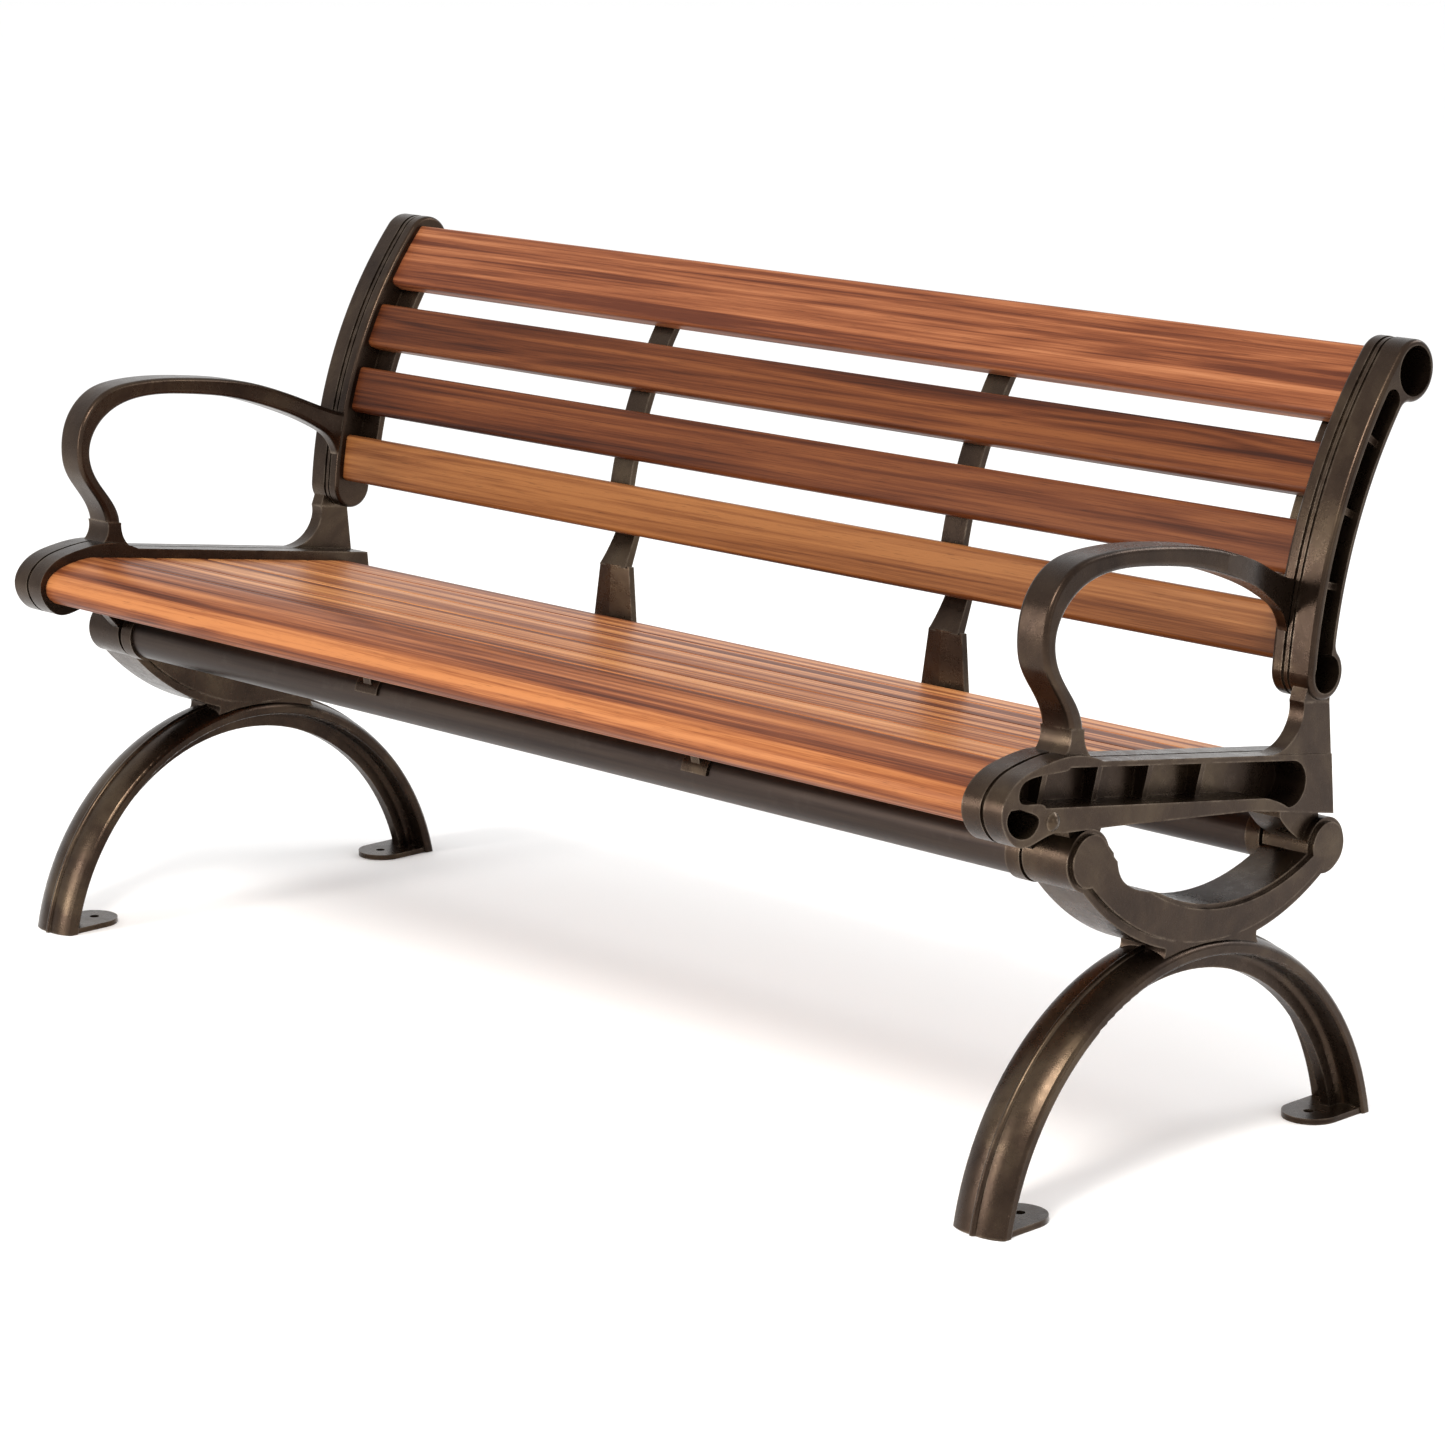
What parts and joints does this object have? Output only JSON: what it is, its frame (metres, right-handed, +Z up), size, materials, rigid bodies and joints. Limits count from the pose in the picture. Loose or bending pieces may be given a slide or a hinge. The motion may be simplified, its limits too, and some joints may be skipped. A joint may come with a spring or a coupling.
{
  "type": "garden bench",
  "caption": "Slatted wooden garden bench with cast end frames: arched legs, looped armrests, a leaning curved back and a nosed seat.",
  "frame": {"origin": "on the floor, below the centre of the bench's bounding box", "axes": "+X along the bench, -Y is the front that a sitter faces, +Z up"},
  "size_m": [1.526, 0.6216, 0.7837],
  "materials": {
    "bronze_casting": "satin",
    "tube_paint": "satin",
    "seat_wood": "satin",
    "back_wood": "satin",
    "fastener": "satin"
  },
  "bodies": {
    "bench": {"leg_right": "bronze_casting", "leg_left": "bronze_casting", "seat_frame_right": "bronze_casting", "seat_frame_left": "bronze_casting", "back_frame_right": "bronze_casting", "back_frame_left": "bronze_casting", "armrest_right": "bronze_casting", "armrest_left": "bronze_casting", "seat_slat_1": "seat_wood", "seat_slat_2": "seat_wood", "seat_slat_3": "seat_wood", "seat_slat_4": "seat_wood", "seat_slat_5": "seat_wood", "seat_slat_6": "seat_wood", "back_slat_1": "back_wood", "back_slat_2": "back_wood", "back_slat_3": "back_wood", "back_slat_4": "back_wood", "front_tube": "tube_paint", "rear_tube": "tube_paint", "seat_bearer_left": "bronze_casting", "seat_bearer_right": "bronze_casting", "back_support_left": "bronze_casting", "back_support_right": "bronze_casting", "seat_slat_screws": "fastener", "back_slat_screws": "fastener", "tube_set_screws": "fastener", "seat_frame_bolts": "bronze_casting"}
  },
  "joints": []
}
